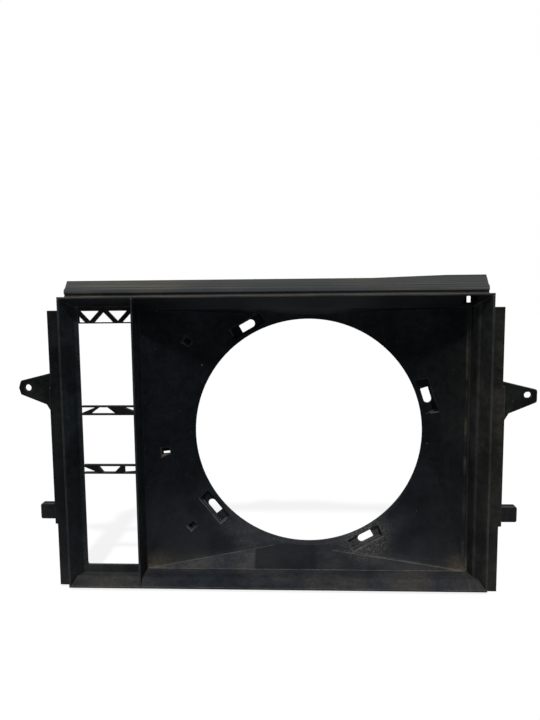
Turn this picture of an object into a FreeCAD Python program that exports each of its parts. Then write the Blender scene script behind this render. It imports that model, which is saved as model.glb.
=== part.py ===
import FreeCAD, Part
import Sketcher
import math
import os

# Radiator fan shroud: a shallow moulded tray that faces the radiator, with an open column at its left, and
# a funnel that leads from a rectangle to the round fan opening. A ribbed rubber strip seals its top edge.
#
# Frame: millimetres, +X to the right as seen from the radiator, +Y away from the radiator, +Z up. The origin
# is the centre of the fan opening, halfway along its collar. The open rim faces -Y.

doc = FreeCAD.newDocument("radiator_fan_shroud")

# ---------------------------------------------------------------------------------------------------------
# Driving dimensions
# ---------------------------------------------------------------------------------------------------------

DIMENSIONS = {
    # rim of the tray, measured from the fan axis, and its distance in front of the origin
    "rim_left": 393.6,
    "rim_right": 282.4,
    "rim_top": 235.3,
    "rim_bottom": 239,
    "rim_depth": 97,
    "wall": 3,
    # where the slanted walls end: the open column is shallower than the fan side
    "column_depth": 30,
    "tray_depth": 46,
    "foot_left": 377.4,
    "foot_right": 262,
    "foot_top": 213.5,
    "step_depth": 25,
    "step_right": 268.5,
    "step_width": 3,
    "ledge_depth": 26,
    # bottom wall: raised front lip, then a level shelf
    "lip_depth": 16,
    "lip_rise": 11,
    "lip_radius": 9,
    # column beside the fan side
    "divider": 277.5,
    "column_edge": 371,
    "sill_height": 14,
    # braces across the column
    "brace_depth": 6,
    "chord": 2.9,
    "chord_upper": 2.1,
    "brace_pitch": 45.8,
    "brace_centre": 329.7,
    "brace_window": 31,
    "brace_upper": 192.3,
    "brace_middle": 42.2,
    "brace_lower": 56.1,
    "brace_height": 15.9,
    # funnel and fan opening
    "opening_radius": 195,
    "collar_length": 6,
    "flare": 3,
    "flare_width": 6.2,
    "panel_right": 259,
    "facet_width": 24,
    "facet_shift": 8,
    # recesses for the hooks of the fan carrier
    "pocket_first": 17.6,
    "pocket_length": 59,
    "pocket_width": 19.5,
    "pocket_wall": 2.5,
    "slot_radius": 6.75,
    "slot_length": 26.5,
    "slot_offset": 9.8,
    # small square sockets for cable clips
    "socket_width": 13,
    "socket_height": 11,
    "socket_wall": 3,
    "socket_bevel": 1.5,
    "socket_depth": 8,
    "socket_gap": 4,
    # window in the top wall, and the plate with the latch hole behind it
    "window_left": 240,
    "window_right": 262.5,
    "window_front": 3,
    "window_back": 35,
    "latch_wall": 1.5,
    "latch_left": 248,
    "latch_right": 254.3,
    "latch_low": 221,
    "latch_high": 231,
    # sealing flanges beside the tray
    "flange_setback": 12,
    "flange_top": 214,
    "flange_left": 414.5,
    "flange_right": 301.5,
    "flange_swell_left": 1.7,
    "flange_swell_right": 3.4,
    "flange_notch_left": 2.1,
    "flange_notch_right": 1.2,
    "flange_drop_right": 3.6,
    "notch_level": 135,
    # ears with the fixing holes
    "ear_thick": 4,
    "ear_round": 4,
    "ear_hole_radius": 5.25,
    "ear_left_hole": 451.6,
    "ear_left_level": 90.6,
    "ear_right_hole": 340.4,
    "ear_right_level": 76.8,
    "ear_slot_length": 11.4,
    "ear_slot_radius": 4.7,
    # locating stubs
    "stub_reach_left": 25.8,
    "stub_reach_right": 28.1,
    "stub_height": 25.3,
    "stub_top_left": 101.8,
    "stub_top_right": 103.1,
    "stub_thick": 12,
    "stub_root": 10,
    "stub_round": 3,
    # rubber strip on the ledge
    "seal_left": 384,
    "seal_right": 275.5,
    "seal_front": 7,
    "seal_round": 1.2,
    "seal_rise": 3.6,
    "seal_rise_start": 100,
    "seal_rise_end": 215,
}


class Size:
    """A length that carries its value and its spreadsheet expression together."""

    def __init__(self, value, text):
        self.value = value
        self.text = text

    def __add__(self, other):
        other = as_size(other)
        return Size(self.value + other.value, f"({self.text} + {other.text})")

    def __sub__(self, other):
        other = as_size(other)
        return Size(self.value - other.value, f"({self.text} - {other.text})")

    def __mul__(self, factor):
        factor = as_size(factor)
        return Size(self.value * factor.value, f"({self.text} * {factor.text})")

    def __truediv__(self, factor):
        factor = as_size(factor)
        return Size(self.value / factor.value, f"({self.text} / {factor.text})")

    def __neg__(self):
        return Size(-self.value, f"(0 - {self.text})")

    def __radd__(self, other):
        return as_size(other) + self

    def __rsub__(self, other):
        return as_size(other) - self

    def __rmul__(self, other):
        return as_size(other) * self


def as_size(number):
    return number if isinstance(number, Size) else Size(float(number), f"({float(number)!r})")


class Sheet:
    """The spreadsheet of driving dimensions: each attribute is the Size of the cell of that name."""

    def __init__(self, dimensions):
        sheet = doc.addObject("Spreadsheet::Sheet", "Sheet")
        for row, (name, value) in enumerate(dimensions.items(), start=1):
            sheet.set(f"A{row}", name)
            sheet.set(f"B{row}", str(value))
            sheet.setAlias(f"B{row}", name)
            setattr(self, name, Size(float(value), f"Sheet.{name}"))
        doc.recompute()


d = Sheet(DIMENSIONS)

# Planes of the frame, each with the sign of its normal along the axis that it looks along.
XY = ("XY_Plane", 1)
XZ = ("XZ_Plane", -1)
YZ = ("YZ_Plane", 1)

FAR = 600  # beyond every wall, for cuts that run right through
SPARE = 20  # how far the cuts for the wall surfaces run on past the tray's front and back

pieces = []
cuts = []


# ---------------------------------------------------------------------------------------------------------
# Helpers
# ---------------------------------------------------------------------------------------------------------


def bind(thing, name, length):
    """Sets a property from a Size, and binds it to the sheet."""
    thing.setExpression(name, as_size(length).text)


def new_body(label):
    body = doc.addObject("PartDesign::Body", label)
    body.Label = label
    return body


def piece(thing, label):
    """Names a finished sub-part, which is then written to its own file."""
    thing.Label = label
    pieces.append(thing)
    return thing


def depth(length):
    """Y of a plane that lies this far behind the rim."""
    return as_size(length) - d.rim_depth


def attach(body, plane, position):
    """A sketch on one of the body's origin planes, moved to a position along that plane's axis."""
    role, sign = plane
    sketch = body.newObject("Sketcher::SketchObject", "Sketch")
    support = next(f for f in body.Origin.OriginFeatures if f.Role == role)
    sketch.AttachmentSupport = [(support, "")]
    sketch.MapMode = "FlatFace"
    offset = as_size(position) * sign
    sketch.AttachmentOffset = FreeCAD.Placement(FreeCAD.Vector(0, 0, offset.value), FreeCAD.Rotation())
    bind(sketch, "AttachmentOffset.Base.z", offset)
    return sketch


def outline(sketch, points):
    """A closed outline of straight lines, with each corner tied to the sheet."""
    corners = [(as_size(u), as_size(v)) for u, v in points]
    places = [FreeCAD.Vector(u.value, v.value, 0) for u, v in corners]
    lines = [sketch.addGeometry(Part.LineSegment(a, b)) for a, b in zip(places, places[1:] + places[:1])]
    for line, following in zip(lines, lines[1:] + lines[:1]):
        sketch.addConstraint(Sketcher.Constraint("Coincident", line, 2, following, 1))
    for line, (u, v) in zip(lines, corners):
        for kind, length in (("DistanceX", u), ("DistanceY", v)):
            number = sketch.addConstraint(Sketcher.Constraint(kind, -1, 1, line, 1, length.value))
            bind(sketch, f"Constraints[{number}]", length)


def circle(sketch, radius, u, v):
    """A circle about (u, v), tied to the sheet."""
    radius, u, v = as_size(radius), as_size(u), as_size(v)
    centre = FreeCAD.Vector(u.value, v.value, 0)
    ring = sketch.addGeometry(Part.Circle(centre, FreeCAD.Vector(0, 0, 1), radius.value))
    wanted = [
        (Sketcher.Constraint("Radius", ring, radius.value), radius),
        (Sketcher.Constraint("DistanceX", -1, 1, ring, 3, u.value), u),
        (Sketcher.Constraint("DistanceY", -1, 1, ring, 3, v.value), v),
    ]
    for constraint, length in wanted:
        bind(sketch, f"Constraints[{sketch.addConstraint(constraint)}]", length)


def pad(body, plane, points, start, end):
    """Adds a prism with this outline, from start to end along the plane's axis."""
    sketch = attach(body, plane, start)
    outline(sketch, points)
    feature = body.newObject("PartDesign::Pad", "Pad")
    feature.Profile = sketch
    feature.Reversed = plane[1] < 0
    bind(feature, "Length", as_size(end) - start)
    return feature


def pocket(body, plane, draw, start, end):
    """Cuts a prism, drawn by a function or given by its corners, from start to end."""
    before = body.Tip
    sketch = attach(body, plane, start)
    if callable(draw):
        draw(sketch)
    else:
        outline(sketch, draw)
    feature = body.newObject("PartDesign::Pocket", "Pocket")
    feature.Profile = sketch
    feature.Reversed = plane[1] > 0
    bind(feature, "Length", as_size(end) - start)
    cuts.append((before, feature))
    return feature


def round_edges(body, radius, wanted):
    """Rounds the edges of the body's last feature for which wanted(middle point, direction) is true."""
    doc.recompute()
    base = body.Tip
    names = []
    for number, edge in enumerate(base.Shape.Edges, start=1):
        if isinstance(edge.Curve, (Part.Line, Part.LineSegment)):
            middle = edge.valueAt((edge.FirstParameter + edge.LastParameter) / 2)
            if wanted(middle, edge.tangentAt(edge.FirstParameter)):
                names.append(f"Edge{number}")
    if not names:
        raise RuntimeError(f"{body.Label}: no edge to round")
    fillet = body.newObject("PartDesign::Fillet", "Fillet")
    fillet.Base = (base, names)
    bind(fillet, "Radius", radius)
    return fillet


def upright(direction):
    return abs(direction.z) > 0.99


def along_x(direction):
    return abs(direction.x) > 0.99


def through(direction):
    return abs(direction.y) > 0.99


def cut(base, *tools):
    """The base less each tool in turn, as boolean objects of the document."""
    for tool in tools:
        result = doc.addObject("Part::Cut", f"{base.Name}_cut")
        result.Base = base
        result.Tool = tool
        cuts.append((base, result))
        base = result
    return base


def rectangle(left, right, low, high):
    return [(left, low), (right, low), (right, high), (left, high)]


# ---------------------------------------------------------------------------------------------------------
# Tray walls: each is its profile drawn out along the rim, then cut where it meets the next
# ---------------------------------------------------------------------------------------------------------

shelf = -d.rim_bottom + d.wall + d.lip_rise

TOP_UNDERSIDE = [(depth(0), d.rim_top - d.wall), (depth(d.tray_depth), d.foot_top)]
BOTTOM_SURFACE = [(depth(0), -d.rim_bottom + d.wall), (depth(d.lip_depth), shelf)]


def clear_top(body):
    """Removes what rises above the underside of the top wall."""
    front, foot = TOP_UNDERSIDE
    slope = (foot[1] - front[1]) / d.tray_depth
    ends = [(depth(length), front[1] + slope * length) for length in (-as_size(SPARE), d.tray_depth + SPARE)]
    pocket(body, YZ, ends + [(ends[1][0], FAR), (ends[0][0], FAR)], -FAR, FAR)


def clear_bottom(body):
    """Removes what falls below the lip and the shelf of the bottom wall."""
    front, crest = BOTTOM_SURFACE
    low = -as_size(FAR)
    back = depth(d.tray_depth + SPARE)
    corners = [(depth(-SPARE), low), (depth(-SPARE), front[1]), front, crest, (back, crest[1]), (back, low)]
    pocket(body, YZ, corners, -FAR, FAR)
    round_edges(body, d.lip_radius, lambda p, t: along_x(t) and abs(p.y - crest[0].value) < 1 and
                abs(p.z - crest[1].value) < 1)


def clear_ends(body):
    """Ends a wall that runs across at the outer faces of the side walls."""
    left_foot = -d.foot_left - d.wall
    left = [(-d.rim_left, depth(0)), (left_foot, depth(d.column_depth)), (left_foot, depth(d.tray_depth))]
    pocket(body, XY, left + [(-as_size(FAR), depth(d.tray_depth)), (-as_size(FAR), depth(0))], -FAR, FAR)
    right = [(d.rim_right, depth(0)), (d.foot_right + d.wall, depth(d.tray_depth))]
    pocket(body, XY, right + [(FAR, depth(d.tray_depth)), (FAR, depth(0))], -FAR, FAR)


def make_wall_top():
    body = new_body("wall_top")
    front, foot = TOP_UNDERSIDE
    profile = [front, foot, (foot[0], foot[1] + d.wall), (depth(d.wall * 2), d.rim_top - d.wall),
               (depth(d.ledge_depth), d.rim_top - d.wall), (depth(d.ledge_depth), d.rim_top),
               (depth(0), d.rim_top)]
    pad(body, YZ, profile, -d.rim_left, d.rim_right)
    clear_ends(body)
    window = rectangle(d.window_left, d.window_right, depth(d.window_front), depth(d.window_back))
    pocket(body, XY, window, 0, d.rim_top - d.wall)
    return piece(body, "wall_top")


def make_wall_bottom():
    body = new_body("wall_bottom")
    front, crest = BOTTOM_SURFACE
    foot = depth(d.tray_depth)
    profile = [(depth(0), -d.rim_bottom), front, crest, (foot, shelf), (foot, shelf - d.wall),
               (depth(d.lip_depth + d.wall), shelf - d.wall), (depth(d.wall), -d.rim_bottom)]
    pad(body, YZ, profile, -d.rim_left, d.rim_right)
    clear_ends(body)
    round_edges(body, d.lip_radius, lambda p, t: along_x(t) and abs(p.y - crest[0].value) < 1 and
                abs(p.z - crest[1].value) < 1)
    return piece(body, "wall_bottom")


def make_wall_left():
    body = new_body("wall_left")
    foot = -d.foot_left
    profile = [(-d.rim_left, depth(0)), (-d.rim_left + d.wall, depth(0)), (foot, depth(d.column_depth)),
               (foot - d.wall, depth(d.column_depth))]
    pad(body, XY, profile, -d.rim_bottom, d.rim_top)
    clear_top(body)
    clear_bottom(body)
    return piece(body, "wall_left")


def make_wall_right():
    body = new_body("wall_right")
    profile = [(d.rim_right, depth(0)), (d.foot_right + d.wall, depth(d.tray_depth)),
               (d.foot_right, depth(d.tray_depth)), (d.step_right - d.step_width, depth(d.step_depth + 2)),
               (d.step_right, depth(d.step_depth)), (d.rim_right - d.wall, depth(0))]
    pad(body, XY, profile, -d.rim_bottom, d.rim_top)
    clear_top(body)
    clear_bottom(body)
    return piece(body, "wall_right")


# ---------------------------------------------------------------------------------------------------------
# Open column: divider, frame and three braces
# ---------------------------------------------------------------------------------------------------------


def make_column_divider():
    body = new_body("column_divider")
    plan = rectangle(-d.divider, -d.divider + d.wall, depth(0), depth(d.tray_depth))
    pad(body, XY, plan, -d.rim_bottom, d.rim_top)
    clear_top(body)
    clear_bottom(body)
    return piece(body, "column_divider")


def make_column_frame():
    body = new_body("column_frame")
    outer = -d.foot_left - d.wall
    corner = (-d.column_edge, shelf + d.sill_height)
    corners = [(outer, shelf), (-d.divider, shelf), (-d.divider, corner[1]), corner,
               (-d.column_edge, d.rim_top), (outer, d.rim_top)]
    back = d.column_depth + d.wall
    pad(body, XZ, corners, depth(d.column_depth), depth(back))
    clear_top(body)
    round_edges(body, d.wall, lambda p, t: through(t) and abs(p.x - corner[0].value) < 1 and
                abs(p.z - corner[1].value) < 1)
    return piece(body, "column_frame")


def brace(label, low, high, windows):
    """A flat brace across the column, with its windows cut through from front to back."""
    body = new_body(label)
    plate = rectangle(-d.column_edge, -d.divider, low, high)
    back = d.column_depth + d.brace_depth
    pad(body, XZ, plate, depth(d.column_depth), depth(back))
    for corners in windows:
        pocket(body, XZ, corners, depth(d.column_depth), depth(back))
    return body


def make_truss_upper():
    floor = d.brace_upper + d.chord_upper
    roof = d.foot_top - d.chord_upper / 2
    half = d.brace_window / 2
    reach = roof - floor - d.chord_upper * 0.75
    left_end = -d.column_edge + d.chord_upper / 2
    right_end = -d.divider - d.chord_upper / 2
    windows = []
    for number in (-0.5, 0.5):
        middle = -d.brace_centre + d.brace_pitch * number
        windows.append([(middle - half, roof), (middle, roof - reach), (middle + half, roof)])
    windows.append([(-d.brace_centre - half, floor), (-d.brace_centre + half, floor),
                    (-d.brace_centre, floor + reach)])
    for end, sign in ((left_end, 1), (right_end, -1)):
        middle = -d.brace_centre - d.brace_pitch * sign
        tip = middle + half * sign
        rise = reach * ((tip - end) * sign) / half
        windows.append([(end, floor), (tip, floor), (end, floor + rise)])
    body = brace("truss_upper", d.brace_upper, d.rim_top, windows)
    clear_top(body)
    return piece(body, "truss_upper")


# Windows of the two lower braces: the end that each is measured from, then the distance of each corner from
# that end and whether the corner lies on the lower (0) or on the upper (1) chord.
MIDDLE_WINDOWS = [
    ("left", [(0, 0.1), (0, 1), (22, 1)]),
    ("left", [(15, 0), (29, 1), (42.5, 1), (55.5, 0)]),
    ("right", [(-24, 1), (0, 1), (0, 0.1)]),
]
LOWER_WINDOWS = [
    ("left", [(0, 0), (21.5, 0), (0, 0.9)]),
    ("left", [(24, 1), (32, 0), (50.5, 0), (60.5, 1)]),
    ("right", [(-26, 1), (-26, 0), (0, 0.2), (0, 1)]),
]


def make_lower_truss(label, low, windows):
    floor = low + d.chord
    clear = d.brace_height - d.chord * 2
    ends = {"left": -d.column_edge, "right": -d.divider}
    shapes = [[(ends[end] + along, floor + clear * share) for along, share in corners]
              for end, corners in windows]
    return piece(brace(label, low, low + d.brace_height, shapes), label)


# ---------------------------------------------------------------------------------------------------------
# Funnel and fan opening
# ---------------------------------------------------------------------------------------------------------


FAN_STEPS = 12  # triangles in each corner of the funnel

MOUTH = d.opening_radius + d.flare_width
MOUTH_OUTER = MOUTH + d.wall
POCKET_FLOOR = d.collar_length / 2 - d.wall


def funnel(name, left, right, bottom, top, radius, shift):
    """The solid inside a funnel that changes from a rectangle to a circle.

    Each side of the rectangle narrows to a short chord, so it makes a flat facet, and each corner fans out
    in slender triangles to the arc between two facets. A shift moves the sloping part back, behind a
    straight part.
    """
    front = depth(d.tray_depth).value
    back = shift.value - (d.collar_length / 2 + d.flare).value
    half = math.degrees(d.facet_width.value / 2 / MOUTH.value)
    middles = [0, 90, 180, 270 - d.facet_shift.value, 360]
    places = [(x.value, z.value) for x, z in ((right, top), (left, top), (left, bottom), (right, bottom))]
    rim = [FreeCAD.Vector(x, front, z) for x, z in places]
    base = [FreeCAD.Vector(x, front + shift.value, z) for x, z in places]

    mouth = []
    faces = []
    for apex, start, end in zip(base, middles, middles[1:]):
        step = (end - start - half * 2) / FAN_STEPS
        turns = [math.radians(start + half + step * number) for number in range(FAN_STEPS + 1)]
        arc = [FreeCAD.Vector(radius.value * math.cos(t), back, radius.value * math.sin(t)) for t in turns]
        faces += [[apex, one, other] for one, other in zip(arc, arc[1:])]
        mouth.append(arc)
    for number in range(4):
        last, first = mouth[number - 1][-1], mouth[number][0]
        faces += [[base[number - 1], base[number], last], [base[number], first, last]]
        if shift.value > 0:
            faces.append([rim[number - 1], rim[number], base[number], base[number - 1]])
    faces += [rim, [point for arc in mouth for point in arc]]
    shell = Part.Shell([Part.Face(Part.makePolygon(points + points[:1])) for points in faces])
    solid = doc.addObject("Part::Feature", name)
    solid.Shape = Part.Solid(shell).removeSplitter()
    return solid



def polar_placement(distance, degrees):
    """A place in the fan's plane, with local X pointing away from the fan axis."""
    turn = math.radians(degrees)
    place = FreeCAD.Vector(distance * math.cos(turn), 0, distance * math.sin(turn))
    return FreeCAD.Placement(place, FreeCAD.Rotation(FreeCAD.Vector(0, 1, 0), -degrees))


def make_fan_ring(recesses):
    body = new_body("ring")
    sketch = attach(body, XY, 0)
    end = d.collar_length / 2
    front = -end - d.flare
    collar_outer = d.opening_radius + d.wall
    profile = [(d.opening_radius, -end), (d.opening_radius, end), (collar_outer, end),
               (collar_outer, POCKET_FLOOR), (MOUTH_OUTER, POCKET_FLOOR), (MOUTH_OUTER, front),
               (MOUTH, front)]
    outline(sketch, profile)
    turned = body.newObject("PartDesign::Revolution", "Revolution")
    turned.Profile = sketch
    turned.ReferenceAxis = (sketch, ["V_Axis"])
    turned.Angle = 360
    return piece(cut(body, *recesses), "fan_ring")


POCKET_INNER = MOUTH - 0.5
POCKET_OUTER = POCKET_INNER + d.pocket_width
SLOT_CENTRE = MOUTH + d.slot_offset
POCKET_ANGLES = [d.pocket_first.value + step for step in (0, 101.4, 201.2, 280.4)]


def make_recess(number, degrees):
    """The space inside one recess, which is cut from the funnel and the ring."""
    box = doc.addObject("Part::Box", f"recess_{number}")
    bind(box, "Length", d.pocket_width)
    bind(box, "Width", POCKET_FLOOR + d.rim_depth)
    bind(box, "Height", d.pocket_length)
    turn = polar_placement(0, degrees)
    corner = FreeCAD.Vector(POCKET_INNER.value, -d.rim_depth.value, -d.pocket_length.value / 2)
    box.Placement = turn.multiply(FreeCAD.Placement(corner, FreeCAD.Rotation()))
    return box


def bayonet_slot(sketch):
    """A slot with one round end and one square end."""
    half = d.slot_length / 2 - d.slot_radius
    low = SLOT_CENTRE - d.slot_radius
    high = SLOT_CENTRE + d.slot_radius
    outline(sketch, rectangle(low, high, -half, d.slot_length / 2))


def round_slot_end(sketch):
    circle(sketch, d.slot_radius, SLOT_CENTRE, -(d.slot_length / 2 - d.slot_radius))


def make_bayonet_pocket(number, degrees, *spaces):
    """A floor level with the back of the ring, and three walls that rise to the back of the funnel."""
    body = new_body(f"pocket_{number}")
    floor = POCKET_FLOOR
    half = d.pocket_length / 2
    inner = d.opening_radius
    outer = POCKET_OUTER + d.pocket_wall
    side = half + d.pocket_wall
    pad(body, XZ, rectangle(inner, outer, -side, side), floor, floor + d.wall)
    lip = [(inner, -side), (outer, -side), (outer, side), (inner, side), (inner, half),
           (POCKET_OUTER, half), (POCKET_OUTER, -half), (inner, -half)]
    pad(body, XZ, lip, depth(d.tray_depth), floor)
    pocket(body, XZ, bayonet_slot, floor, floor + d.wall)
    pocket(body, XZ, round_slot_end, floor, floor + d.wall)
    body.Placement = polar_placement(0, degrees)
    return piece(cut(body, *spaces), f"bayonet_pocket_{number}")


def disc(name, radius, front, back):
    """A round space about the fan axis, from front to back."""
    space = doc.addObject("Part::Cylinder", name)
    bind(space, "Radius", radius)
    bind(space, "Height", back - front)
    space.Placement = FreeCAD.Placement(FreeCAD.Vector(0, back.value, 0),
                                        FreeCAD.Rotation(FreeCAD.Vector(1, 0, 0), 90))
    return space


# Distance from the fan axis and angle of each clip socket.
SOCKET_PLACES = [(MOUTH.value + out, degrees) for out, degrees in ((56, 141.8), (42.4, 186.4), (56, 218.6))]
OPEN_SOCKET = 2  # the only one with a gap beside its tongue


def make_socket_hole(number, place):
    """The space inside one socket: a bevelled mouth, then a straight square hole."""
    mouth = doc.addObject("Part::Wedge", f"socket_mouth_{number}")
    half_width = d.socket_width / 2
    half_height = d.socket_height / 2
    flare_width = half_width + d.socket_bevel * 2
    flare_height = half_height + d.socket_bevel * 2
    sizes = {"Xmin": -flare_width, "Xmax": flare_width, "Zmin": -flare_height, "Zmax": flare_height,
             "X2min": -half_width, "X2max": half_width, "Z2min": -half_height, "Z2max": half_height,
             "Ymin": -d.socket_bevel * 4, "Ymax": as_size(0)}
    for name, length in sizes.items():
        setattr(mouth, name, length.value)
        bind(mouth, name, length)
    level = socket_level(place)
    turn = polar_placement(*place)
    mouth.Placement = FreeCAD.Placement(FreeCAD.Vector(0, level, 0), FreeCAD.Rotation()).multiply(turn)

    bore = doc.addObject("Part::Box", f"socket_bore_{number}")
    bind(bore, "Length", d.socket_width)
    bind(bore, "Width", d.socket_depth)
    bind(bore, "Height", d.socket_height)
    corner = FreeCAD.Vector(-half_width.value, level, -half_height.value)
    bore.Placement = turn.multiply(FreeCAD.Placement(corner, FreeCAD.Rotation()))
    hole = doc.addObject("Part::MultiFuse", f"socket_hole_{number}")
    hole.Shapes = [mouth, bore]
    return hole


def socket_level(place):
    """Y at which the bevel of a socket ends, just behind the slope of the funnel."""
    turn = math.radians(place[1])
    edge = min(d.divider.value / abs(math.cos(turn)), d.foot_top.value / abs(math.sin(turn)))
    front = depth(d.tray_depth).value
    back = -(d.collar_length / 2 + d.flare).value
    slope = (back - front) / (edge - MOUTH.value)
    return back - (place[0] - MOUTH.value) * slope + d.socket_bevel.value


def make_clip_socket(number, place, funnel_back, hole):
    """A square tube behind the funnel, closed at its end or partly closed by a tongue."""
    body = new_body(f"socket_{number}")
    half_width = d.socket_width / 2
    half_height = d.socket_height / 2
    outer_width = half_width + d.socket_wall
    outer_height = half_height + d.socket_wall
    end = socket_level(place) + d.socket_depth
    pad(body, XZ, rectangle(-outer_width, outer_width, -outer_height, outer_height),
        depth(d.tray_depth), end + d.wall)
    if number == OPEN_SOCKET:
        gap = rectangle(-half_width, half_width, half_height - d.socket_gap, half_height)
        pocket(body, XZ, gap, end, end + d.wall)
    body.Placement = polar_placement(*place)
    return piece(cut(body, funnel_back, hole), f"clip_socket_{number}")


def make_funnel_and_ring():
    inside = funnel("funnel_inside", -d.divider + d.wall, d.panel_right, shelf, d.foot_top, MOUTH,
                    as_size(0))
    outside = funnel("funnel_outside", -d.divider, d.foot_right + d.wall, shelf - d.wall,
                     d.foot_top + d.wall, MOUTH_OUTER, d.wall / 2)
    end = d.collar_length / 2
    collar_space = disc("collar_space", d.opening_radius + d.wall, depth(0), end)
    flare_space = disc("flare_space", MOUTH_OUTER, -end - d.flare, POCKET_FLOOR)
    recesses = [make_recess(number, turn) for number, turn in enumerate(POCKET_ANGLES, start=1)]
    holes = [make_socket_hole(number, place) for number, place in enumerate(SOCKET_PLACES, start=1)]
    piece(cut(outside, inside, flare_space, *recesses, *holes), "fan_panel")
    make_fan_ring(recesses)
    for number, turn in enumerate(POCKET_ANGLES, start=1):
        make_bayonet_pocket(number, turn, outside, collar_space, flare_space)
    for number, (place, hole) in enumerate(zip(SOCKET_PLACES, holes), start=1):
        make_clip_socket(number, place, outside, hole)


# ---------------------------------------------------------------------------------------------------------
# Fixings at the sides, latch plate and rubber strip
# ---------------------------------------------------------------------------------------------------------


def side_face(sign, length):
    """X of the outer face of a side wall at this distance behind the rim."""
    if sign < 0:
        slope = (d.rim_left - d.foot_left - d.wall) / d.column_depth
        return -d.rim_left + slope * length
    slope = (d.rim_right - d.foot_right - d.wall) / d.tray_depth
    return d.rim_right - slope * length


def make_flange(label, sign, edge, swell, notch, bottom):
    """A flat strip beside the tray: a little wider in the middle and narrower at its lower end."""
    body = new_body(label)
    front = d.flange_setback
    back = front + d.wall
    outer = (edge + swell) * sign
    beyond = as_size(FAR) * sign
    plan = [(side_face(sign, front), depth(front)), (outer, depth(front)), (outer, depth(back)),
            (side_face(sign, back), depth(back))]
    pad(body, XY, plan, bottom, d.flange_top)
    above = rectangle(edge * sign, beyond, d.ear_left_level, FAR)
    below = rectangle((edge - notch) * sign, beyond, -FAR, -d.notch_level)
    for corners in (above, below):
        pocket(body, XZ, corners, depth(front), depth(back))
    return piece(body, label)


# Corners of each ear: distance out from the flange's edge, and height above the fixing hole.
LEFT_EAR = [(-8, 25), (0, 23.4), (48.6, 11.5), (52.2, 0), (49.2, -11), (8, -27.5), (2, -38), (-8, -55)]
RIGHT_EAR = [(-8, 22), (0, 21.4), (53.3, 8.2), (53.3, -11.6), (10.5, -29.5), (3, -42), (-8, -52)]


def make_ear(label, sign, edge, offsets, hole, level, half_slot):
    """A triangular plate behind the flange, with a round or slotted fixing hole."""
    body = new_body(label)
    front = depth(d.flange_setback + d.wall)
    back = front + d.ear_thick
    corners = [((edge + out) * sign, level + up) for out, up in offsets]
    pad(body, XZ, corners, front, back)
    reach = max(abs(u.value) for u, v in corners) - d.ear_round.value
    round_edges(body, d.ear_round, lambda p, t: through(t) and abs(p.x) > reach)
    radius = d.ear_hole_radius if half_slot is None else d.ear_slot_radius
    middle = hole * sign
    if half_slot is None:
        pocket(body, XZ, lambda sketch: circle(sketch, radius, middle, level), front, back)
    else:
        straight = rectangle(middle - half_slot, middle + half_slot, level - radius, level + radius)
        pocket(body, XZ, straight, front, back)
        for end in (middle - half_slot, middle + half_slot):
            pocket(body, XZ, lambda sketch: circle(sketch, radius, end, level), front, back)
    return piece(body, label)


def make_stub(label, sign, edge, reach, top):
    """A hollow rectangular stub with a rounded end."""
    body = new_body(label)
    front = d.flange_setback + d.wall
    back = front + d.stub_thick
    root = (edge - d.stub_root) * sign
    tip = (edge + reach) * sign
    pad(body, XZ, rectangle(root, tip, -top - d.stub_height, -top), depth(front), depth(back))
    round_edges(body, d.stub_round, lambda p, t: through(t) and abs(p.x - tip.value) < 1)
    hollow = rectangle(root, tip - d.wall * sign, -top - d.stub_height + d.wall, -top - d.wall)
    pocket(body, XZ, hollow, depth(front + d.wall), depth(back))
    return piece(body, label)


def make_latch_plate():
    """A plate behind the window, from the slanted wall up to the ledge, with a hole and a web at its right."""
    body = new_body("latch_plate")
    front = depth(d.window_back - d.latch_wall)
    back = depth(d.window_back)
    ledge = d.rim_top - d.wall
    slope = (TOP_UNDERSIDE[1][1] - TOP_UNDERSIDE[0][1]) / d.tray_depth
    pad(body, XY, rectangle(d.window_left, d.window_right, front, back), ledge + slope * d.window_back, ledge)
    pocket(body, XZ, rectangle(d.latch_left, d.latch_right, d.latch_low, d.latch_high), front, back)
    crease = d.wall * 2
    fall = (ledge - d.foot_top - d.wall) / (d.tray_depth - crease)
    web = [(depth(crease), ledge), (back, ledge - fall * (d.window_back - crease)), (back, ledge)]
    pad(body, YZ, web, d.window_right, d.window_right + d.latch_wall)
    return piece(body, "latch_plate")


# Corners of the rubber strip's profile, from the back of its foot up to the fin and down over the bulge:
# distance behind its front, and height above the ledge.
SEAL_PROFILE = [(1, 0), (18, 0), (18, 3), (12, 4), (13, 13), (20, 24.2), (17, 25.2), (7, 14.2), (5, 13),
                (1, 11), (0, 5.5), (3, 3.4), (3, 2)]
FIN_BACK, FIN_FRONT, BULGE = 5, 6, 9


def make_top_seal():
    """The ribbed rubber strip: its fin leans back, and rises over the right third of the strip."""
    body = new_body("top_seal")
    profile = [(depth(d.seal_front + back), d.rim_top + up) for back, up in SEAL_PROFILE]
    pad(body, YZ, profile, -d.seal_left, d.seal_right)
    edge = [profile[FIN_FRONT], profile[FIN_BACK]]
    raised = [(y + d.seal_rise, z + d.seal_rise) for y, z in reversed(edge)]
    pad(body, YZ, edge + raised, d.seal_rise_start, d.seal_right)
    front, top = edge[0]
    above = [(d.seal_rise_start, top), (d.seal_rise_end, top + d.seal_rise),
             (d.seal_rise_end, top + d.seal_rise * 2), (d.seal_rise_start, top + d.seal_rise * 2)]
    pocket(body, XZ, above, front, raised[0][0] + d.wall)
    crest = profile[BULGE][1].value
    round_edges(body, d.seal_round, lambda p, t: along_x(t) and abs(p.z - crest) < 0.5)
    return piece(body, "top_seal")


# ---------------------------------------------------------------------------------------------------------
# Build, check and write
# ---------------------------------------------------------------------------------------------------------


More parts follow.
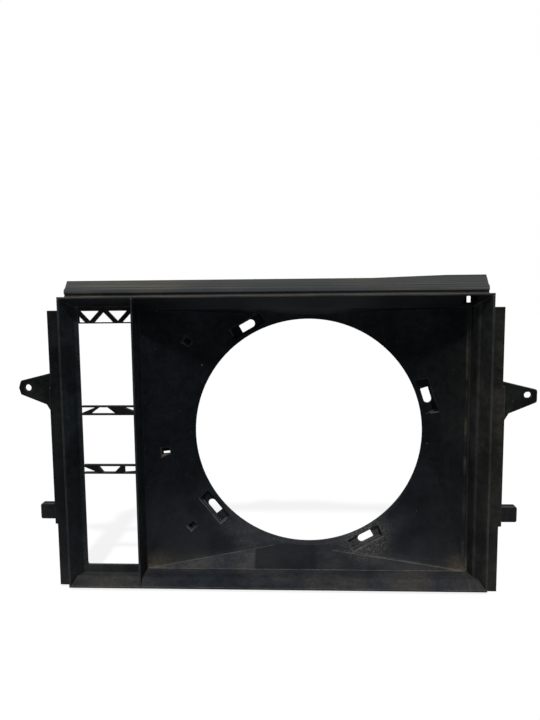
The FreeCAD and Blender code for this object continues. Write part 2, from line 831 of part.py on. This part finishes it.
def check():
    """Stops if an object failed, a sub-part has no valid shape, or a cut took nothing away."""
    for thing in doc.Objects:
        if "Invalid" in thing.State or "Error" in thing.State:
            raise RuntimeError(f"{thing.Label} ({thing.Name}) failed: {thing.State}")
    for thing in pieces:
        if thing.Shape.isNull() or not thing.Shape.isValid() or not thing.Shape.Solids:
            raise RuntimeError(f"{thing.Label} has no valid shape")
    for before, after in cuts:
        if after.Shape.Volume > before.Shape.Volume - 0.01:
            raise RuntimeError(f"{after.Label} ({after.Name}) cuts nothing")


def main():
    make_wall_top()
    make_wall_bottom()
    make_wall_left()
    make_wall_right()
    make_column_divider()
    make_column_frame()
    make_truss_upper()
    make_lower_truss("truss_middle", d.brace_middle, MIDDLE_WINDOWS)
    make_lower_truss("truss_lower", -d.brace_lower, LOWER_WINDOWS)
    make_funnel_and_ring()
    make_flange("flange_left", -1, d.flange_left, d.flange_swell_left, d.flange_notch_left, -d.rim_bottom)
    make_flange("flange_right", 1, d.flange_right, d.flange_swell_right, d.flange_notch_right,
                -d.rim_bottom - d.flange_drop_right)
    make_ear("ear_left", -1, d.flange_left, LEFT_EAR, d.ear_left_hole, d.ear_left_level, None)
    make_ear("ear_right", 1, d.flange_right, RIGHT_EAR, d.ear_right_hole, d.ear_right_level,
             d.ear_slot_length / 2 - d.ear_slot_radius)
    make_stub("stub_left", -1, d.flange_left, d.stub_reach_left, d.stub_top_left)
    make_stub("stub_right", 1, d.flange_right, d.stub_reach_right, d.stub_top_right)
    make_latch_plate()
    make_top_seal()
    doc.recompute()
    check()
    os.makedirs("parts", exist_ok=True)
    for thing in pieces:
        thing.Shape.exportStep(f"parts/{thing.Label}.step")
        print(f"{thing.Label}: {thing.Shape.Volume / 1000:.2f} cm3")


main()
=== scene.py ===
import math

import bmesh
import bpy
from mathutils import Matrix, Vector


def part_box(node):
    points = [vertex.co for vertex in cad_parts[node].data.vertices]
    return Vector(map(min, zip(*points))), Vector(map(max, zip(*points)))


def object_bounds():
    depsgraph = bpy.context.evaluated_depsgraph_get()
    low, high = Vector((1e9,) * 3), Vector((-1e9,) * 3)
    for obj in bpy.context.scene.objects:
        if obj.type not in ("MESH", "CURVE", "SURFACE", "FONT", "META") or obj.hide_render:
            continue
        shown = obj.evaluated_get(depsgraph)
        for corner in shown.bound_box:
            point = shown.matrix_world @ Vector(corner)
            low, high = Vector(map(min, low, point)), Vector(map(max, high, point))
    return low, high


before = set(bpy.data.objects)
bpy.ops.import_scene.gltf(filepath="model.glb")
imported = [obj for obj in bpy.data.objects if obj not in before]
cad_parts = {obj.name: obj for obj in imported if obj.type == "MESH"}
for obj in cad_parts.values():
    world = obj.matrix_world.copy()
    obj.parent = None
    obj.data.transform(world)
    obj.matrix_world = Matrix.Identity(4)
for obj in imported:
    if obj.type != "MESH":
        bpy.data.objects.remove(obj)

# Radiator fan shroud, dressed on its CAD frame: metres, origin at the centre of the fan opening, +X right,
# +Y away from the radiator, +Z up. The open rim faces -Y. The CAD nodes are all there is of the object: this
# script gives them materials and lightly rounded edges, and adds the studio and the photograph's camera.

cad_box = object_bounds()
scene = bpy.context.scene

# ---------------------------------------------------------------------------------------------------------
# Places taken from the frame
# ---------------------------------------------------------------------------------------------------------

RIM_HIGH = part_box("wall_top")[1]
FLOOR_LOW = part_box("wall_bottom")[0]
PANEL_LOW, PANEL_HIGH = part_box("fan_panel")
SEAL_LOW, SEAL_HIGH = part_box("top_seal")
GRIT_CENTRE = sum(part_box("bayonet_pocket_4"), Vector()) / 2
CORNER_LINE = PANEL_HIGH.x - 0.0095  # brown dust gathers along this line, where the funnel meets the wall
MOUTH_EDGE = 0.2085  # radius just past the funnel's inner edge and its seam with the fan ring
GROOVE = SEAL_LOW.z + 0.0139  # height of the groove between the bulge and the fin of the rubber strip
FIN_MIDDLE = GROOVE + 0.6 * (SEAL_HIGH.z - GROOVE)  # where the fin is lightest

# Bands over which dust, wear, painted light and painted shade set in or fade out, from one place to the
# other. Heights:
FILM_AND_LIGHT_BAND = (FLOOR_LOW.z + 0.015, FLOOR_LOW.z + 0.26)
FLOOR_BAND = (FLOOR_LOW.z + 0.012, FLOOR_LOW.z + 0.05)
CORNER_TOP = (0.1, 0.18)
LINE_TOP = (PANEL_HIGH.z - 0.1, PANEL_HIGH.z - 0.02)
WIPED_TOP = (-0.02, 0.0)
MOUTH_FOOT = (-0.2, -0.12)
RIM_LINE = (RIM_HIGH.z - 0.0007, RIM_HIGH.z - 0.0002)
BULGE_BAND = (SEAL_LOW.z + 0.0045, GROOVE - 0.001)
FIN_FOOT = (GROOVE - 0.0009, GROOVE - 0.0004)
# Places from left to right:
CORNER_BAND = (PANEL_HIGH.x - 0.09, PANEL_HIGH.x - 0.01)
LEFT_HEAP = (PANEL_LOW.x + 0.01, PANEL_LOW.x + 0.08)
RIGHT_HEAP = (CORNER_LINE - 0.045, CORNER_LINE - 0.005)
WIPED_LEFT = (-0.094, -0.09)
WIPED_RIGHT = (0.008, 0.02)
# Distances from the corner's line, the groove, the grit's centre and the fan's axis:
LINE_BAND = (0.0005, 0.0032)
GROOVE_BAND = (0.0003, 0.0008)
GRIT_BAND = (0.018, 0.055)
MOUTH_SEAM = (MOUTH_EDGE, MOUTH_EDGE + 0.002)
MOUTH_BAND = (MOUTH_EDGE, MOUTH_EDGE + 0.035)

# Bands of how far a face or an edge looks up, or to the front: 1 is straight that way, 0 is square to it
FACES_UP = (0.15, 0.9)
STEEP_FACES = (0.3, 0.6)
UPPER_EDGES = (-0.1, 0.75)
FACES_FRONT = (0.8, 0.95)

EDGE_REACH = 0.002  # wear and painted edge highlight reach this far from an edge
EDGE_TURN = (0.004, 0.035)  # 1 less the cosine of the turn that rounding makes: on a flat, and on an edge

# ---------------------------------------------------------------------------------------------------------
# Colours, as 0-255 display values, and surface values
# ---------------------------------------------------------------------------------------------------------


def srgb(red, green, blue):
    """A display colour as the linear values that a shader takes."""
    def linear(value):
        value /= 255
        return value / 12.92 if value <= 0.04045 else ((value + 0.055) / 1.055) ** 2.4
    return (linear(red), linear(green), linear(blue), 1.0)


BROWN_DUST = srgb(78, 71, 60)
GREY_DUST = srgb(70, 72, 76)
GRIT = srgb(92, 89, 84)
# light grey of rubbed edges and specks; on edges that look up it is also a painted highlight
WEAR_AND_EDGE_HIGHLIGHT = srgb(104, 101, 95)

RIM_DARK = srgb(14, 16, 19)
RIM_LIGHT = srgb(23, 25, 28)
RIM_BROWN = srgb(52, 47, 43)
# painted highlight along the rim's top edge
RIM_EDGE_HIGHLIGHT = srgb(128, 125, 119)

# painted light on the bulge: shade at its foot and a highlight on its crest
BULGE_FOOT_SHADE = srgb(22, 24, 28)
BULGE_CREST_HIGHLIGHT = srgb(48, 51, 54)
FIN_FOOT_GREY = srgb(45, 46, 44)
FIN_MIDDLE_GREY = srgb(57, 56, 52)
FIN_TOP_BLACK = srgb(36, 39, 42)
# painted shade in the groove between the bulge and the fin
GROOVE_SHADE = srgb(22, 23, 24)
RUBBER_BLOOM = srgb(66, 64, 58)
RUBBER_STREAK = srgb(82, 81, 76)
RUBBER_DAMP = srgb(38, 43, 50)
BLOOM_COVER = 0.5
STREAK_COVER = 0.5
DAMP_COVER = 0.45

PLASTIC_SPECULAR = 0.02
RUBBER_SPECULAR = 0.1
CLOUD_COVER = 0.7  # the most of the plastic's lighter grey that clouds bring; streaks add to it
LOWER_EDGE_WEAR_AND_HIGHLIGHT = 0.15  # share of the wear and painted edge highlight that is left on edges that look down
CLOUDS = {"scale": 11.0, "detail": 6.0, "roughness": 0.6, "low": 0.36, "high": 0.66}

# ---------------------------------------------------------------------------------------------------------
# Material helpers
# ---------------------------------------------------------------------------------------------------------


class Nodes:
    def __init__(self, name):
        self.material = bpy.data.materials.new(name)
        self.material.use_nodes = True
        self.tree = self.material.node_tree
        self.shader = self.tree.nodes["Principled BSDF"]
        geometry = self.add("ShaderNodeNewGeometry")
        self.place = geometry.outputs["Position"]
        self.normal = geometry.outputs["Normal"]
        self.height = self.axis(self.place, "Z")
        self.colour = None

    def add(self, kind, **settings):
        node = self.tree.nodes.new(kind)
        for name, value in settings.items():
            setattr(node, name, value)
        return node

    def feed(self, socket, value):
        if isinstance(value, bpy.types.NodeSocket):
            self.tree.links.new(value, socket)
        else:
            socket.default_value = value

    def maths(self, operation, first, second=0.0, clamp=False):
        node = self.add("ShaderNodeMath", operation=operation, use_clamp=clamp)
        self.feed(node.inputs[0], first)
        self.feed(node.inputs[1], second)
        return node.outputs[0]

    def vector_maths(self, operation, first, second=(0.0, 0.0, 0.0)):
        """Both outputs, Vector and Value, of a sum on vectors."""
        node = self.add("ShaderNodeVectorMath", operation=operation)
        self.feed(node.inputs[0], first)
        self.feed(node.inputs[1], second)
        return node.outputs

    def times(self, first, *others):
        for other in others:
            first = self.maths("MULTIPLY", first, other)
        return first

    def most(self, first, *others):
        for other in others:
            first = self.maths("MAXIMUM", first, other)
        return first

    def lifted(self, value, least):
        """A value from 0 to 1, pressed into the range from least to 1."""
        return self.maths("ADD", self.times(value, 1.0 - least), least, clamp=True)

    def away_from(self, value, centre):
        return self.maths("ABSOLUTE", self.maths("SUBTRACT", value, centre))

    def axis(self, vector, name):
        node = self.add("ShaderNodeSeparateXYZ")
        self.feed(node.inputs[0], vector)
        return node.outputs[name]

    def stretched(self, stretch):
        """Positions scaled along each axis, so that noise comes out as streaks."""
        return self.vector_maths("MULTIPLY", self.place, stretch)["Vector"]

    def noise(self, scale, detail=4.0, roughness=0.55, stretch=None):
        node = self.add("ShaderNodeTexNoise")
        self.feed(node.inputs["Vector"], self.stretched(stretch) if stretch else self.place)
        node.inputs["Scale"].default_value = scale
        node.inputs["Detail"].default_value = detail
        node.inputs["Roughness"].default_value = roughness
        return node.outputs["Fac"]

    def ramp(self, value, low, high, start=0.0, end=1.0):
        """start below low, end above high, and smooth between them."""
        node = self.add("ShaderNodeMapRange", interpolation_type="SMOOTHSTEP")
        self.feed(node.inputs["Value"], value)
        for name, number in (("From Min", low), ("From Max", high), ("To Min", start), ("To Max", end)):
            node.inputs[name].default_value = number
        return node.outputs[0]

    def pattern(self, low, high, start=0.0, end=1.0, **noise):
        """Noise as a pattern: start where it is below low, end where it is above high."""
        return self.ramp(self.noise(**noise), low, high, start, end)

    def lit_and_worn_edges(self):
        """How much a point lies on an edge, and how far that edge looks up."""
        bevel = self.add("ShaderNodeBevel", samples=6)
        bevel.inputs["Radius"].default_value = EDGE_REACH
        rounded = bevel.outputs["Normal"]
        same = self.vector_maths("DOT_PRODUCT", rounded, self.normal)["Value"]
        return self.ramp(self.maths("SUBTRACT", 1.0, same), *EDGE_TURN), self.axis(rounded, "Z")

    def mix(self, factor, first, second):
        node = self.add("ShaderNodeMix", data_type="RGBA")
        self.feed(node.inputs["Factor"], factor)
        for name, colour in (("A", first), ("B", second)):
            socket = next(s for s in node.inputs if s.name == name and s.type == "RGBA")
            self.feed(socket, colour)
        return next(s for s in node.outputs if s.type == "RGBA")

    def lay(self, colour, *amounts):
        """Covers the colour so far with another one, as much as the amounts say when multiplied."""
        self.colour = self.mix(self.times(*amounts), self.colour, colour)

    def bump(self, height, strength, distance):
        node = self.add("ShaderNodeBump")
        self.feed(node.inputs["Height"], height)
        node.inputs["Strength"].default_value = strength
        node.inputs["Distance"].default_value = distance
        self.feed(self.shader.inputs["Normal"], node.outputs[0])

    def finish(self, roughness, specular):
        self.feed(self.shader.inputs["Base Color"], self.colour)
        self.feed(self.shader.inputs["Roughness"], roughness)
        self.shader.inputs["Specular IOR Level"].default_value = specular
        return self.material

    def finish_plastic(self):
        """The fine grain and dull sheen that all the plastic has."""
        self.bump(self.noise(scale=1400.0, detail=2.0), strength=0.2, distance=0.0004)
        sheen = self.pattern(scale=22.0, low=0.3, high=0.7, start=0.62, end=0.78)
        return self.finish(sheen, PLASTIC_SPECULAR)


# ---------------------------------------------------------------------------------------------------------
# Plastic
# ---------------------------------------------------------------------------------------------------------


class Plastic(Nodes):
    """Black moulded plastic, mottled between two greys: each method lays one kind of dust or wear on it; the
    film also paints light on, and the light edges a painted highlight.
    """

    def __init__(self, name, dark, light):
        super().__init__(name)
        self.across = self.axis(self.place, "X")
        self.upward = self.axis(self.normal, "Z")
        self.low_down = self.ramp(self.height, *FILM_AND_LIGHT_BAND, start=1.0, end=0.0)
        self.near_floor = self.ramp(self.height, *FLOOR_BAND, start=1.0, end=0.0)
        self.patches = self.pattern(scale=8.0, low=0.38, high=0.62)
        speckle = self.pattern(scale=160.0, detail=6.0, roughness=0.75, low=0.4, high=0.66)
        blotches = self.pattern(scale=24.0, detail=5.0, roughness=0.65, stretch=(0.5, 1.0, 1.0),
                                low=0.36, high=0.6, start=0.45)
        self.grain = self.times(self.lifted(speckle, least=0.55), blotches)
        self.kept = 1.0  # share of the dust that wiping has left
        self.mottle(dark, light)

    def mottle(self, dark, light):
        """Clouds and upright streaks of the lighter grey, with a fine change of shade all over."""
        clouds = self.times(self.pattern(**CLOUDS), CLOUD_COVER)
        streaks = self.pattern(scale=26.0, stretch=(1.0, 1.0, 0.15), low=0.42, high=0.75, end=0.45)
        shades = self.pattern(scale=75.0, detail=7.0, roughness=0.75, low=0.4, high=0.6, start=0.72, end=1.2)
        cloudy = self.mix(self.maths("ADD", clouds, streaks, clamp=True), dark, light)
        mottled = self.add("ShaderNodeVectorMath", operation="SCALE")
        self.feed(mottled.inputs[0], cloudy)
        self.feed(mottled.inputs["Scale"], shades)
        self.colour = mottled.outputs["Vector"]

    def from_axis(self):
        """Distance from the fan's axis, which runs along Y through the origin."""
        return self.vector_maths("LENGTH", self.stretched((1.0, 0.0, 1.0)))["Value"]

    def wipe(self):
        """Leaves a cleaner patch low in the middle, with less dust to its right than to its left."""
        left = self.ramp(self.across, *WIPED_LEFT, start=1.0, end=0.0)
        right = self.ramp(self.across, *WIPED_RIGHT, end=0.4)
        above = self.ramp(self.height, *WIPED_TOP)
        beside = self.maths("ADD", left, right)
        self.kept = self.lifted(self.most(beside, above), least=0.15)

    def film_and_light(self, amount):
        """A grey film that thickens downwards: dust, with painted light as well, which makes the lower faces,
        those that look up, lighter.
        """
        # painted light as well as dust: lighter towards the bottom, where the lower faces look up to the
        # light
        self.lay(GREY_DUST, self.low_down, self.lifted(self.patches, least=0.4), amount)

    def settled_dust(self, amount):
        """Grey dust where a face looks up."""
        self.lay(GREY_DUST, self.ramp(self.upward, *FACES_UP), self.kept, self.grain, amount)

    def brown_dust(self, amount, heaped):
        """Brown dust low down, in the right corner and on its line. heaped adds it at the floor's ends."""
        right = self.ramp(self.across, *CORNER_BAND, end=0.5)
        tall = self.most(self.low_down, self.ramp(self.height, *CORNER_TOP, start=0.5, end=0.0))
        spread = self.most(self.times(right, tall), self.times(self.near_floor, self.patches))
        line = self.ramp(self.away_from(self.across, CORNER_LINE), *LINE_BAND, start=1.5, end=0.0)
        fading = self.ramp(self.height, *LINE_TOP, start=1.0, end=0.2)
        broken = self.pattern(scale=34.0, detail=6.0, low=0.36, high=0.62, start=0.15)
        spread = self.most(self.times(spread, self.kept), self.times(line, fading, broken))
        if heaped:
            right_heap = self.ramp(self.across, *RIGHT_HEAP, end=3.2)
            left_heap = self.ramp(self.across, *LEFT_HEAP, start=2.4, end=0.0)
            spread = self.most(spread, self.times(self.most(right_heap, left_heap), self.near_floor))
        self.lay(BROWN_DUST, spread, self.grain, amount)

    def grit(self):
        """Light grains round the lower right pocket."""
        away = self.vector_maths("DISTANCE", self.place, GRIT_CENTRE)["Value"]
        grains = self.pattern(scale=420.0, roughness=0.8, low=0.47, high=0.6)
        self.lay(GRIT, grains, self.ramp(away, *GRIT_BAND, start=0.6, end=0.0))

    def mouth_dust(self):
        """A band of grey dust under the mouth, on its steep faces."""
        band = self.ramp(self.from_axis(), *MOUTH_BAND, start=0.5, end=0.0)
        foot = self.ramp(self.height, *MOUTH_FOOT, start=1.0, end=0.0)
        steep = self.ramp(self.upward, *STEEP_FACES, start=1.0, end=0.0)
        self.lay(GREY_DUST, band, foot, steep, self.grain)

    def wear_and_highlights(self, amount, by_fan):
        """Edges made lighter, most where they look up but not inside the mouth: wear, with a painted
        highlight where the edges look up to the light; and scattered specks of wear.
        """
        edge, edge_up = self.lit_and_worn_edges()
        # painted highlight: edges that look up to the light from above get the most of this light grey, and
        # edges that look down keep only a share
        lit_and_exposed = self.ramp(edge_up, *UPPER_EDGES, start=LOWER_EDGE_WEAR_AND_HIGHLIGHT * amount, end=amount)
        if by_fan:
            lit_and_exposed = self.times(lit_and_exposed, self.ramp(self.from_axis(), *MOUTH_SEAM))
        breakup = self.pattern(scale=45.0, low=0.3, high=0.65, start=0.35)
        specks = self.pattern(scale=240.0, detail=2.0, low=0.745, high=0.775, end=0.4)
        self.lay(WEAR_AND_EDGE_HIGHLIGHT, edge, lit_and_exposed, breakup)
        self.lay(WEAR_AND_EDGE_HIGHLIGHT, specks)


def plastic(name, dark, light, film_and_light=0.1, settled=0.3, brown=0.1, edge_wear_and_highlight=0.8, wiped=False, by_fan=False):
    """One kind of the plastic, between its dark and its light grey.

    film_and_light, settled, brown and edge_wear_and_highlight are the most that the grey film (dust, with
    painted light towards the bottom), the dust on faces that look up, the brown dust and the light edges
    (wear, with a painted highlight where they look up) cover. wiped is for the funnel, with its cleaner patch
    and its heaps. by_fan is for what lies round the mouth, with its grit and its own dust.
    """
    kind = Plastic(name, srgb(*dark), srgb(*light))
    if wiped:
        kind.wipe()
    kind.film_and_light(film_and_light)
    kind.settled_dust(settled)
    kind.brown_dust(brown, heaped=wiped)
    if by_fan:
        kind.grit()
        kind.mouth_dust()
    kind.wear_and_highlights(edge_wear_and_highlight, by_fan)
    return kind.finish_plastic()


def rim_plastic():
    """The top wall's plastic: brown in places on its front, with a painted highlight along the rim's top
    edge.
    """
    rim = Nodes("rim_plastic")
    rim.colour = rim.mix(rim.pattern(**CLOUDS), RIM_DARK, RIM_LIGHT)
    front = rim.ramp(rim.times(rim.axis(rim.normal, "Y"), -1.0), *FACES_FRONT)
    rim.lay(RIM_BROWN, front, rim.pattern(scale=9.0, low=0.35, high=0.65, start=0.3, end=0.9))
    # painted highlight: a bright, broken line on the front faces at the rim's top edge, where it catches the
    # light
    breakup = rim.pattern(scale=40.0, detail=5.0, stretch=(0.3, 1.0, 1.0), low=0.3, high=0.7, start=0.55)
    rim.lay(RIM_EDGE_HIGHLIGHT, front, rim.ramp(rim.height, *RIM_LINE), breakup)
    return rim.finish_plastic()


# ---------------------------------------------------------------------------------------------------------
# Rubber
# ---------------------------------------------------------------------------------------------------------


def weathered_rubber():
    """Grey-black rubber: a bulge below and a fin above a groove, all bloomed, streaked and damp, with painted
    light: a highlight on the bulge's crest, and shade at its foot and in the groove.
    """
    rubber = Nodes("weathered_rubber")
    height = rubber.height
    fin = rubber.mix(rubber.ramp(height, GROOVE, FIN_MIDDLE), FIN_FOOT_GREY, FIN_MIDDLE_GREY)
    fin = rubber.mix(rubber.ramp(height, FIN_MIDDLE, SEAL_HIGH.z, end=0.8), fin, FIN_TOP_BLACK)
    # painted highlight on the bulge's crest, fading to painted shade at its foot
    lit_bulge = rubber.mix(rubber.ramp(height, *BULGE_BAND), BULGE_FOOT_SHADE, BULGE_CREST_HIGHLIGHT)
    rubber.colour = rubber.mix(rubber.ramp(height, *FIN_FOOT), lit_bulge, fin)

    bloom = rubber.pattern(scale=12.0, detail=5.0, roughness=0.7, stretch=(0.5, 1.0, 1.2),
                           low=0.36, high=0.62)
    streaks = rubber.pattern(scale=70.0, detail=5.0, stretch=(0.03, 1.0, 3.0), low=0.45, high=0.63)
    damp = rubber.pattern(scale=7.0, stretch=(0.6, 1.0, 3.0), low=0.45, high=0.62)
    rubber.lay(RUBBER_BLOOM, bloom, BLOOM_COVER)
    rubber.lay(RUBBER_STREAK, streaks, STREAK_COVER)
    rubber.lay(RUBBER_DAMP, damp, DAMP_COVER)
    # painted shade: a dark line along the groove
    shade = rubber.ramp(rubber.away_from(height, GROOVE), *GROOVE_BAND, start=0.75, end=0.0)
    rubber.lay(GROOVE_SHADE, shade)

    rubber.bump(streaks, strength=0.3, distance=0.0006)
    return rubber.finish(rubber.ramp(bloom, 0.0, 1.0, start=0.62, end=0.8), RUBBER_SPECULAR)


# ---------------------------------------------------------------------------------------------------------
# Dressing
# ---------------------------------------------------------------------------------------------------------

FUNNEL = {"dark": (6, 8, 10), "light": (14, 17, 20), "film_and_light": 0.13, "settled": 0.5, "brown": 0.3,
          "by_fan": True}
PLASTICS = {
    "funnel": FUNNEL | {"wiped": True},
    "hook": FUNNEL | {"edge_wear_and_highlight": 1.0},
    "wall": {"dark": (11, 14, 16), "light": (25, 29, 31)},
    "right_wall": {"dark": (17, 18, 19), "light": (35, 36, 35)},
    "sill": {"dark": (14, 17, 22), "light": (25, 29, 36), "film_and_light": 0.05, "settled": 0.22, "brown": 0.4},
    "edge": {"dark": (7, 8, 9), "light": (21, 23, 23), "film_and_light": 0.12, "settled": 0.4},
    "right_edge": {"dark": (14, 14, 13), "light": (38, 37, 35), "settled": 0.45, "brown": 0.05},
    "brace": {"dark": (8, 9, 9), "light": (22, 23, 22), "settled": 0.5, "edge_wear_and_highlight": 0.35},
    # the latch plate: darker than all the other plastic, painted shade of the recess it lies in
    "shaded_recess": {"dark": (3, 3, 4), "light": (9, 9, 10), "film_and_light": 0.0, "settled": 0.1, "brown": 0.0,
               "edge_wear_and_highlight": 0.3},
}
BY_NAME = {"fan_panel": "funnel", "wall_bottom": "sill", "wall_top": "rim", "wall_right": "right_wall",
           "flange_right": "right_edge", "latch_plate": "shaded_recess", "top_seal": "rubber"}
BY_FIRST_WORD = {"bayonet": "hook", "clip": "hook", "fan": "hook", "flange": "edge", "ear": "edge",
                 "stub": "edge", "truss": "brace"}

EDGE_ROUND = 0.0007
ROUND_STEPS = 2
SHARP_ANGLE = 40  # degrees
WELD_REACH = 0.00001  # joins the corners that the frame's triangles share, so that their edges can be rounded


def soften(thing):
    """Rounds the sharp edges a little, as a mould does, so that they catch the light."""
    weld = thing.modifiers.new("weld", "WELD")
    weld.merge_threshold = WELD_REACH
    rounded = thing.modifiers.new("rounded", "BEVEL")
    rounded.width = EDGE_ROUND
    rounded.segments = ROUND_STEPS
    rounded.limit_method = "ANGLE"
    rounded.angle_limit = math.radians(SHARP_ANGLE)


def dress_nodes():
    """Gives every CAD node its material, by its name or by the first word of it, and softens its edges."""
    materials = {kind: plastic(kind + "_plastic", **looks) for kind, looks in PLASTICS.items()}
    materials["rim"] = rim_plastic()
    materials["rubber"] = weathered_rubber()
    for name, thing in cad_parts.items():
        kind = BY_NAME.get(name) or BY_FIRST_WORD.get(name.split("_")[0], "wall")
        thing.data.materials.clear()
        thing.data.materials.append(materials[kind])
        soften(thing)


# ---------------------------------------------------------------------------------------------------------
# Studio: white floor and backdrop, one soft key light from the front and above. Angles are in degrees
# ---------------------------------------------------------------------------------------------------------

WORLD_LEVEL = 0.34
KEY_LEVEL = 3.4
KEY_ELEVATION = 51.5
KEY_WIDTH = 3.5  # how wide the lamp looks, which sets how soft its shadows are
WHITE = 1.0  # strength of the white that shows behind the object
FLOOR_WHITENESS = 0.93
FLOOR_DROP = 0.001
FLOOR_SHOWN = 0.15  # share of the floor's own shading, with the shadow, that the camera sees
STUDIO_SIZE = 12.0


def seen_ray(tree):
    """1 for the rays that show the background: from the camera, off metal and through glass."""
    path = tree.nodes.new("ShaderNodeLightPath")
    total = path.outputs["Is Camera Ray"]
    for name in ("Is Glossy Ray", "Is Transmission Ray"):
        either = tree.nodes.new("ShaderNodeMath")
        either.operation = "MAXIMUM"
        tree.links.new(total, either.inputs[0])
        tree.links.new(path.outputs[name], either.inputs[1])
        total = either.outputs[0]
    return total


def backdrop_material():
    """A pale floor that shows up white, with the object's shadow faint on it."""
    material = bpy.data.materials.new("backdrop_white")
    material.use_nodes = True
    tree = material.node_tree
    pale = tree.nodes["Principled BSDF"]
    pale.inputs["Base Color"].default_value = (FLOOR_WHITENESS, FLOOR_WHITENESS, FLOOR_WHITENESS, 1.0)
    pale.inputs["Roughness"].default_value = 1.0
    pale.inputs["Specular IOR Level"].default_value = 0.0
    white = tree.nodes.new("ShaderNodeEmission")
    white.inputs["Strength"].default_value = WHITE
    share = tree.nodes.new("ShaderNodeMath")
    share.operation = "MULTIPLY"
    share.inputs[1].default_value = 1.0 - FLOOR_SHOWN
    mix = tree.nodes.new("ShaderNodeMixShader")
    tree.links.new(seen_ray(tree), share.inputs[0])
    tree.links.new(share.outputs[0], mix.inputs[0])
    tree.links.new(pale.outputs[0], mix.inputs[1])
    tree.links.new(white.outputs[0], mix.inputs[2])
    tree.links.new(mix.outputs[0], tree.nodes["Material Output"].inputs["Surface"])
    return material


def make_floor():
    mesh = bpy.data.meshes.new("studio_floor")
    floor = bpy.data.objects.new("studio_floor", mesh)
    scene.collection.objects.link(floor)
    form = bmesh.new()
    bmesh.ops.create_grid(form, x_segments=1, y_segments=1, size=STUDIO_SIZE)
    form.to_mesh(mesh)
    form.free()
    floor.location.z = cad_box[0].z - FLOOR_DROP
    mesh.materials.append(backdrop_material())


def light_studio():
    """A white world, dimmer as a light than as it shows, and the key light."""
    world = bpy.data.worlds.new("studio")
    scene.world = world
    world.use_nodes = True
    tree = world.node_tree
    background = tree.nodes["Background"]
    background.inputs["Color"].default_value = (1.0, 1.0, 1.0, 1.0)
    strength = tree.nodes.new("ShaderNodeMapRange")
    strength.inputs["To Min"].default_value = WORLD_LEVEL
    strength.inputs["To Max"].default_value = WHITE
    tree.links.new(seen_ray(tree), strength.inputs["Value"])
    tree.links.new(strength.outputs[0], background.inputs["Strength"])

    lamp = bpy.data.lights.new("key", "SUN")
    lamp.energy = KEY_LEVEL
    lamp.angle = math.radians(KEY_WIDTH)
    key = bpy.data.objects.new("key", lamp)
    scene.collection.objects.link(key)
    key.rotation_euler = (math.radians(90 - KEY_ELEVATION), 0, 0)


# ---------------------------------------------------------------------------------------------------------
# Camera at the photograph's viewing angle: metres, degrees and millimetres
# ---------------------------------------------------------------------------------------------------------

CAMERA_PLACE = Vector((-0.0195, -1.0395, 0.2329))
CAMERA_TURN = 2.487
CAMERA_PITCH = -5.923
CAMERA_ROLL = -0.54
CAMERA_LENS = 30.55


def make_camera():
    """The photograph's camera, which looks along +Y before it is turned, pitched and rolled."""
    data = bpy.data.cameras.new("camera")
    data.lens = CAMERA_LENS
    camera = bpy.data.objects.new("camera", data)
    scene.collection.objects.link(camera)
    turn = (Matrix.Rotation(math.radians(CAMERA_TURN), 4, "Z")
            @ Matrix.Rotation(math.radians(90 + CAMERA_PITCH), 4, "X")
            @ Matrix.Rotation(math.radians(CAMERA_ROLL), 4, "Z"))
    camera.matrix_world = Matrix.Translation(CAMERA_PLACE) @ turn
    scene.camera = camera


# ---------------------------------------------------------------------------------------------------------

dress_nodes()
make_floor()
light_studio()
make_camera()
scene.view_settings.view_transform = "Standard"

bpy.context.view_layer.update()
